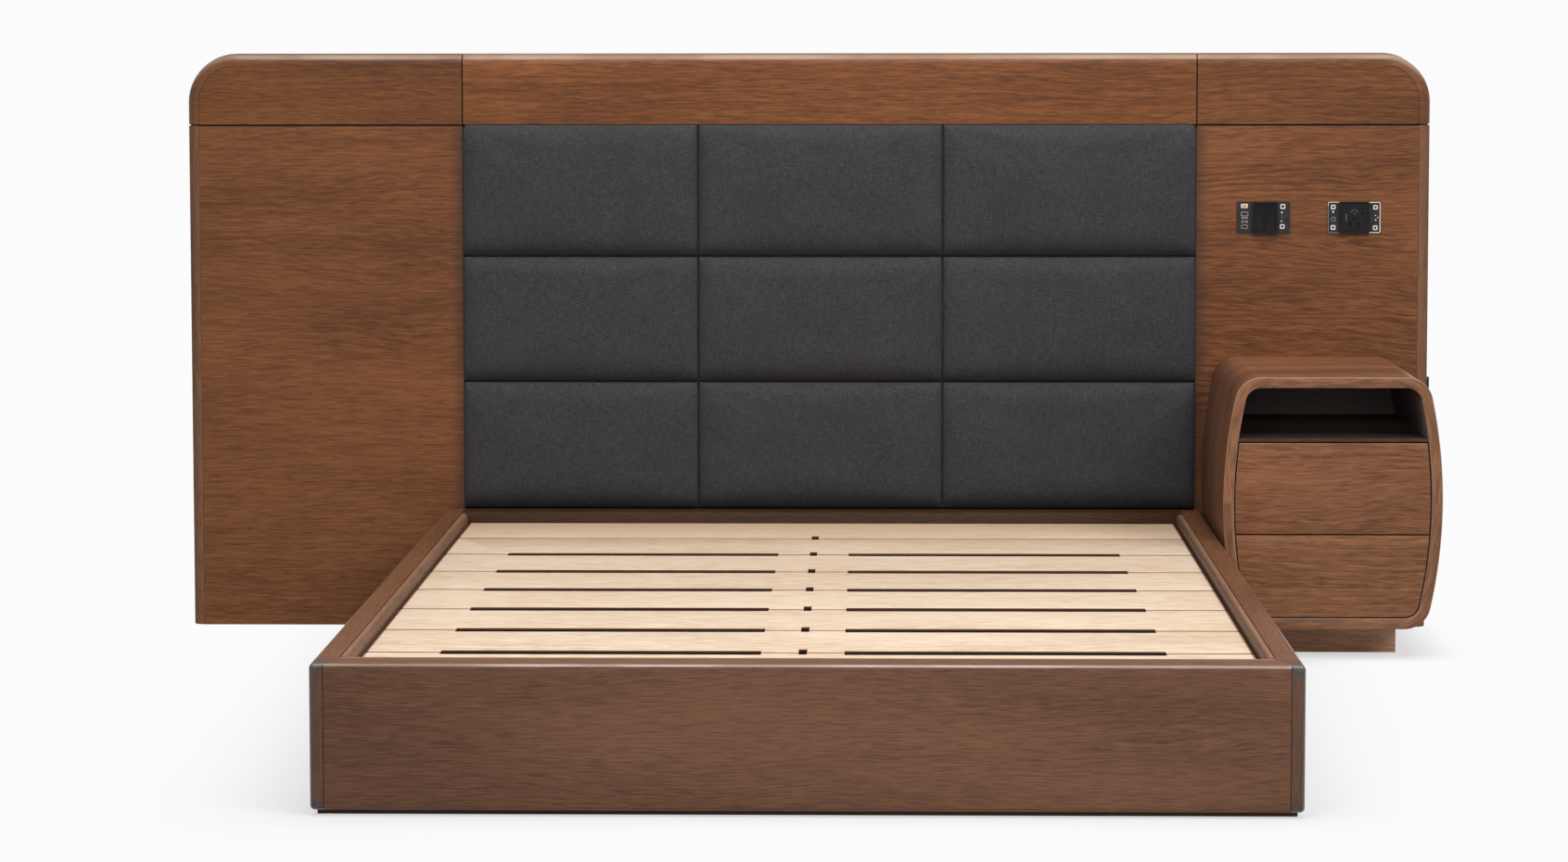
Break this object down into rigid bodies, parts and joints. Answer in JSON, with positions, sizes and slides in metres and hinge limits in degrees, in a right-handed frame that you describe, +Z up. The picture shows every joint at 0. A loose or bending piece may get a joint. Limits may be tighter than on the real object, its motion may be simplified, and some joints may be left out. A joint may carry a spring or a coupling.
{
  "type": "platform bed with wing headboard and nightstand",
  "caption": "Walnut platform bed with a padded wing headboard, a slotted board deck and a bowed nightstand that has a niche and drawers.",
  "frame": {"origin": "middle of the bounding box, on the floor", "axes": "+X to the right seen from the foot end, +Y from the foot end to the headboard and the wall, +Z up"},
  "size_m": [2.749, 2.26, 1.272],
  "materials": {
    "walnut_panel": "satin lacquered walnut veneer with a long horizontal grain",
    "walnut_solid": "satin lacquered solid walnut, grain along each piece",
    "pine": "planed pale pine, unfinished and matt",
    "plywood": "sanded plywood and softwood behind the show faces",
    "charcoal_cloth": "fine plain-woven charcoal upholstery cloth",
    "slate_lacquer": "slate grey lacquer, slightly worn on the rounds",
    "black_plastic": "matt black moulded plastic",
    "steel": "zinc plated sheet and bolts"
  },
  "bodies": {
    "base": {"left_wing_panel": "walnut_panel", "right_wing_panel": "walnut_panel", "edge_lippings": "walnut_solid", "left_cap": "walnut_panel", "centre_cap": "walnut_panel", "right_cap": "walnut_panel", "joint_strips": "black_plastic", "back_frame": "plywood", "centre_backer": "plywood", "apron": "walnut_panel", "pad_boards": "plywood", "pad_r1c1": "charcoal_cloth", "pad_r1c2": "charcoal_cloth", "pad_r1c3": "charcoal_cloth", "pad_r2c1": "charcoal_cloth", "pad_r2c2": "charcoal_cloth", "pad_r2c3": "charcoal_cloth", "pad_r3c1": "charcoal_cloth", "pad_r3c2": "charcoal_cloth", "pad_r3c3": "charcoal_cloth", "left_side_rail": "walnut_solid", "right_side_rail": "walnut_solid", "footboard": "walnut_solid", "head_rail": "walnut_solid", "rail_mouldings": "walnut_solid", "corner_posts": "walnut_solid", "corner_caps": "slate_lacquer", "plinth_boards": "walnut_solid", "deck_board_1": "pine", "deck_board_2": "pine", "deck_board_3": "pine", "deck_board_4": "pine", "deck_board_5": "pine", "deck_board_6": "pine", "deck_board_7": "pine", "deck_board_8": "pine", "deck_ledges": "pine", "centre_beam": "pine", "beam_legs": "pine", "corner_brackets": "steel", "bracket_bolts": "steel", "nightstand_shell": "walnut_panel", "niche_shelf": "walnut_panel", "nightstand_back": "walnut_panel", "nightstand_plinth": "walnut_panel", "runner_cheeks": "plywood", "outer_runners": "steel", "switch_module": "black_plastic", "socket_module": "black_plastic", "edge_fitting": "black_plastic"},
    "upper_drawer": {"upper_drawer_front": "walnut_panel", "upper_drawer_box": "plywood", "upper_drawer_runners": "steel"},
    "lower_drawer": {"lower_drawer_front": "walnut_panel", "lower_drawer_box": "plywood", "lower_drawer_runners": "steel"},
    "upper_middle": {"upper_middle_runners": "steel"},
    "lower_middle": {"lower_middle_runners": "steel"},
    "left_rocker": {"left_rocker": "black_plastic"},
    "right_rocker": {"right_rocker": "black_plastic"}
  },
  "joints": [
    {"name": "upper_drawer_slide", "type": "slide", "parent": "base", "child": "upper_drawer", "axis": [0, -1, 0], "range_m": [0, 0.42]},
    {"name": "lower_drawer_slide", "type": "slide", "parent": "base", "child": "lower_drawer", "axis": [0, -1, 0], "range_m": [0, 0.42]},
    {"name": "upper_middle_slide", "type": "slide", "parent": "base", "child": "upper_middle", "axis": [0, -1, 0], "range_m": [0, 0.21]},
    {"name": "lower_middle_slide", "type": "slide", "parent": "base", "child": "lower_middle", "axis": [0, -1, 0], "range_m": [0, 0.21]},
    {"name": "left_rocker_hinge", "type": "hinge", "parent": "base", "child": "left_rocker", "pos_m": [0.994, 1.0675, 0.91], "axis": [-1, 0, 0], "range_deg": [0, 9]},
    {"name": "right_rocker_hinge", "type": "hinge", "parent": "base", "child": "right_rocker", "pos_m": [1.019, 1.0675, 0.91], "axis": [-1, 0, 0], "range_deg": [0, 9]}
  ],
  "couplings": [
    {"joint": "upper_middle_slide", "follows": "upper_drawer_slide", "ratio": 0.5},
    {"joint": "lower_middle_slide", "follows": "lower_drawer_slide", "ratio": 0.5}
  ]
}
